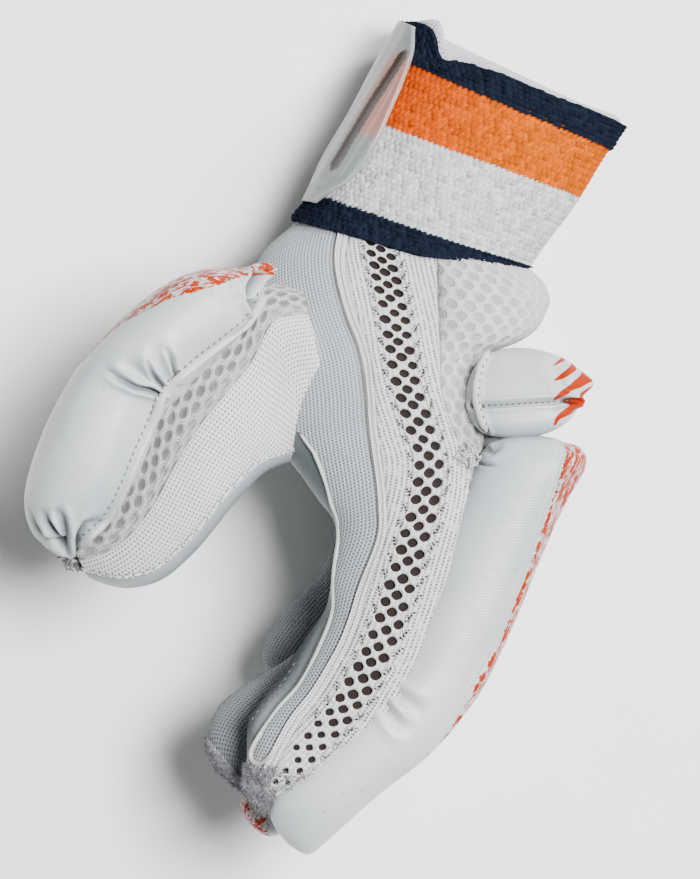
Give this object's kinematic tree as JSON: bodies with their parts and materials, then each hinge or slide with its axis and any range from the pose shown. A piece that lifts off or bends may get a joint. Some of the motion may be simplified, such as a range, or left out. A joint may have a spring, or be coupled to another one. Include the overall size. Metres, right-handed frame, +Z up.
{
  "type": "cricket batting glove",
  "caption": "Padded left-hand batting glove lying on its little-finger side, with a knitted cuff, a net gusset, finger rolls and a hollow hand.",
  "frame": {"origin": "on the flat underside, below the middle of the hand", "axes": "+Z up towards the thumb side, +Y from the fingers towards the cuff, +X from the palm towards the back of the hand"},
  "size_m": [0.205, 0.286, 0.125],
  "materials": {
    "cuff_knit": "ribbed knit, dyed in stripes",
    "lining": "soft lining",
    "strap": "frosted, lets light through",
    "rib_knit": "ribbed knit",
    "net": "net with holes",
    "spacer_mesh": "padded spacer mesh",
    "padding": "smooth, soft, over foam",
    "palm_leather": "smooth, thin",
    "piping": "smooth",
    "towelling": "fuzzy loops"
  },
  "bodies": {
    "root": {"cuff_band": "cuff_knit", "cuff_lining": "lining", "wrist_strap": "strap", "side_knit": "rib_knit", "side_piping": "piping", "rib_tape": "net", "mesh_gusset": "net", "back_mesh": "spacer_mesh", "ulnar_panel": "rib_knit", "palm_panel": "palm_leather", "index_stall": "palm_leather", "index_tip": "towelling", "middle_stall": "rib_knit", "ring_stall": "rib_knit", "little_stall": "rib_knit", "little_roll": "padding", "little_knuckle": "padding", "ring_roll": "padding", "ring_knuckle": "padding", "middle_roll": "padding", "middle_knuckle": "padding", "index_roll": "padding", "index_knuckle": "padding", "thumb_mesh": "spacer_mesh", "thumb_knit": "rib_knit", "thumb_palm": "palm_leather", "thumb_roll": "padding", "thumb_tip": "padding", "thumb_welt": "piping"}
  },
  "joints": []
}
